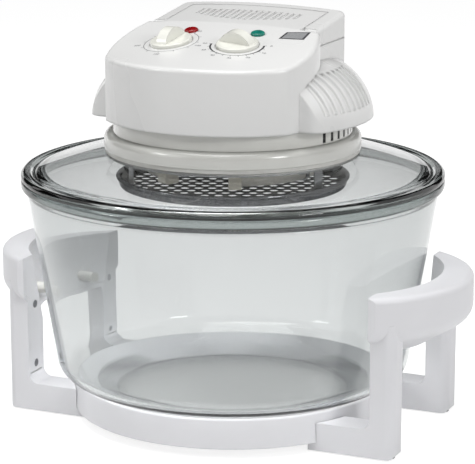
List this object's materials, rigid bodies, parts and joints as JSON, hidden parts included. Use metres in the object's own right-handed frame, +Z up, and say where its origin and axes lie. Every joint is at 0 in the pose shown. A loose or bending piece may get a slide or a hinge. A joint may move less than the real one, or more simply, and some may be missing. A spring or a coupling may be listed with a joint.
{
  "type": "halogen oven",
  "caption": "Round glass-bowl countertop oven on a plastic stand with side grips, and a lift-off glass lid carrying a ring-lamp heater, fan, dials and a fold-up safety handle.",
  "frame": {"origin": "on the worktop under the middle of the bowl", "axes": "+Z up; -Y is the front with the control deck sloping towards it; +X is the right-hand side of someone using it, through the right-hand grip"},
  "size_m": [0.4, 0.34, 0.3275],
  "materials": {
    "stand_plastic": "satin moulded plastic",
    "head_plastic": "smooth moulded plastic",
    "collar_plastic": "heat-resistant moulded plastic",
    "knob_plastic": "smooth moulded plastic",
    "clear_glass": "clear borosilicate glass",
    "quartz": "quartz tube",
    "dark_rubber": "matt",
    "pale_rubber": "silicone",
    "bright_steel": "plated",
    "plain_steel": "pressed sheet",
    "reflector_metal": "polished",
    "dark_plastic": "matt",
    "ceramic": "unglazed ceramic, weighed as plastic",
    "winding": "enamelled copper wire",
    "laminations": "stacked sheet",
    "red_lens": "tinted clear plastic",
    "green_lens": "tinted clear plastic"
  },
  "bodies": {
    "stand": {"base_ring": "stand_plastic", "ring_screws": "plain_steel", "side_frame_right": "stand_plastic", "side_frame_left": "stand_plastic", "frame_cover_right": "stand_plastic", "frame_cover_left": "stand_plastic", "frame_screws": "plain_steel", "rubber_feet": "dark_rubber", "bowl_bumpers": "pale_rubber"},
    "bowl": {"glass_bowl": "clear_glass"},
    "lid": {"glass_lid": "clear_glass", "lid_gasket": "pale_rubber", "lid_collar": "collar_plastic", "vent_neck": "head_plastic", "reflector": "reflector_metal", "collar_screws": "plain_steel", "guard_grille": "plain_steel", "guard_rim": "bright_steel", "guard_brackets": "plain_steel", "halogen_tube": "quartz", "tube_end_caps": "ceramic", "tube_clips": "plain_steel", "thermal_cutout": "dark_plastic", "motor_plate": "plain_steel", "motor_spacers": "plain_steel", "motor_screws": "plain_steel", "motor_core": "laminations", "motor_coil": "winding", "motor_bracket_upper": "plain_steel", "motor_bracket_lower": "plain_steel", "head_cover": "head_plastic", "head_base": "head_plastic", "housing_screws": "plain_steel", "mains_inlet": "dark_plastic", "handle_pins": "plain_steel", "safety_switch": "dark_plastic", "power_lamp": "red_lens", "heating_lamp": "green_lens", "thermostat": "dark_plastic", "timer": "dark_plastic"},
    "fan": {"circulation_fan": "reflector_metal", "fan_nut": "plain_steel", "fan_shaft": "plain_steel", "motor_rotor": "laminations", "cooling_fan": "dark_plastic"},
    "handle": {"safety_handle": "head_plastic"},
    "temperature_dial": {"temperature_knob": "knob_plastic", "temperature_spindle": "plain_steel"},
    "timer_dial": {"timer_knob": "knob_plastic", "timer_spindle": "plain_steel"}
  },
  "joints": [
    {"name": "bowl_lift", "type": "slide", "parent": "stand", "child": "bowl", "axis": [0, 0, 1], "range_m": [0, 0.16]},
    {"name": "lid_lift", "type": "slide", "parent": "bowl", "child": "lid", "axis": [0, 0, 1], "range_m": [0, 0.15]},
    {"name": "fan_spin", "type": "hinge", "parent": "lid", "child": "fan", "pos_m": [0, 0, 0.24], "axis": [0, 0, 1], "continuous": true},
    {"name": "handle_fold", "type": "hinge", "parent": "lid", "child": "handle", "pos_m": [0, 0.0039, 0.3108], "axis": [1, 0, 0], "range_deg": [0, 66]},
    {"name": "temperature_turn", "type": "hinge", "parent": "lid", "child": "temperature_dial", "pos_m": [-0.03091, -0.04765, 0.30732], "axis": [-0.0577, -0.2183, 0.9742], "range_deg": [-270, 0]},
    {"name": "timer_turn", "type": "hinge", "parent": "lid", "child": "timer_dial", "pos_m": [0.02493, -0.04665, 0.30786], "axis": [0.0461, -0.2157, 0.9754], "range_deg": [-210, 84]}
  ]
}
